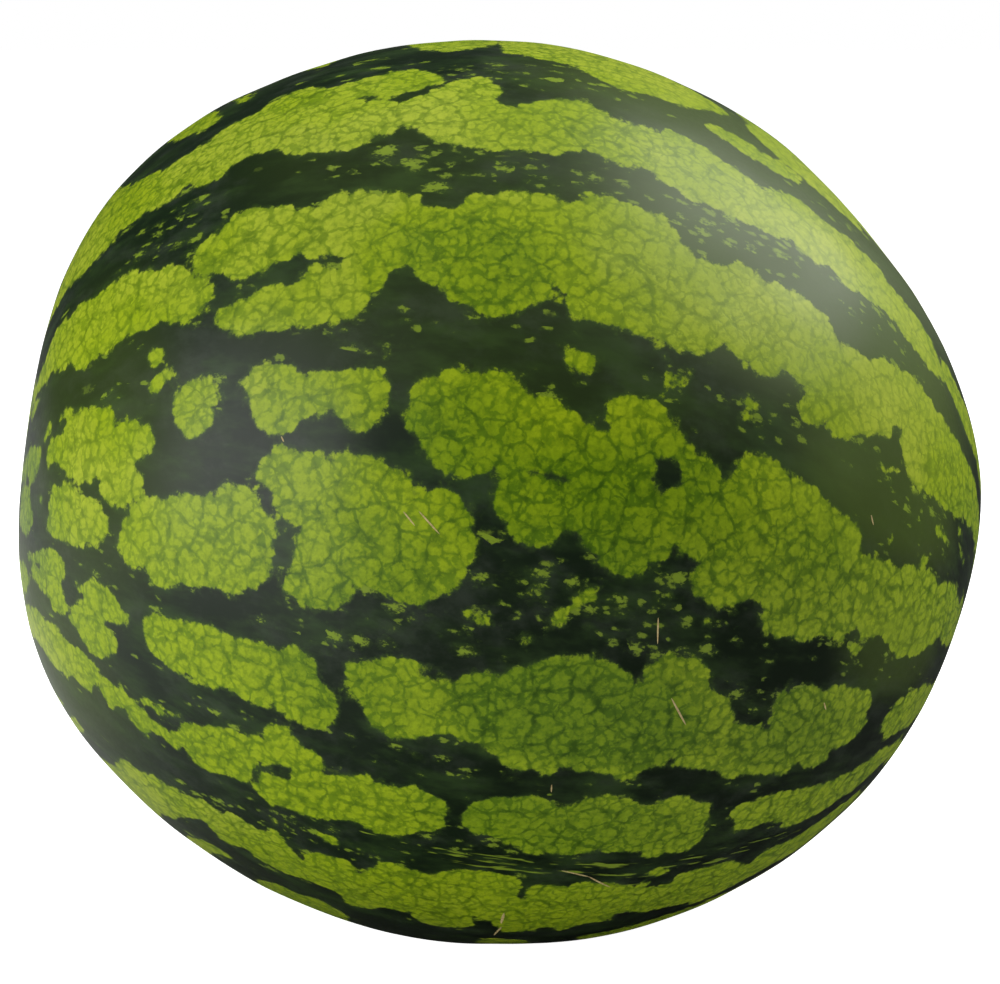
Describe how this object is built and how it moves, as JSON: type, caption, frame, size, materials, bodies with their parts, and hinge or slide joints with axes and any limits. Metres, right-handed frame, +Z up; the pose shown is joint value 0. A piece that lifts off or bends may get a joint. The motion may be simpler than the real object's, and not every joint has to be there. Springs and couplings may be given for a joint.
{
  "type": "watermelon",
  "caption": "Whole round-oblong striped watermelon, lying on a small flat spot, with a short dry stem stub in a shallow hollow at one end and a small scar at the other.",
  "frame": {"origin": "centre of the fruit's box in plan, on the surface that the flat spot rests on", "axes": "+X to the right and along the fruit's length, with the stem end at +X and tipped down by about 12 degrees; +Y to the back; +Z up"},
  "size_m": [0.2622, 0.2458, 0.2451],
  "materials": {
    "rind": "satin, waxy, dark green with broken yellow-green stripes"
  },
  "bodies": {
    "root": {"watermelon": "rind"}
  },
  "joints": []
}
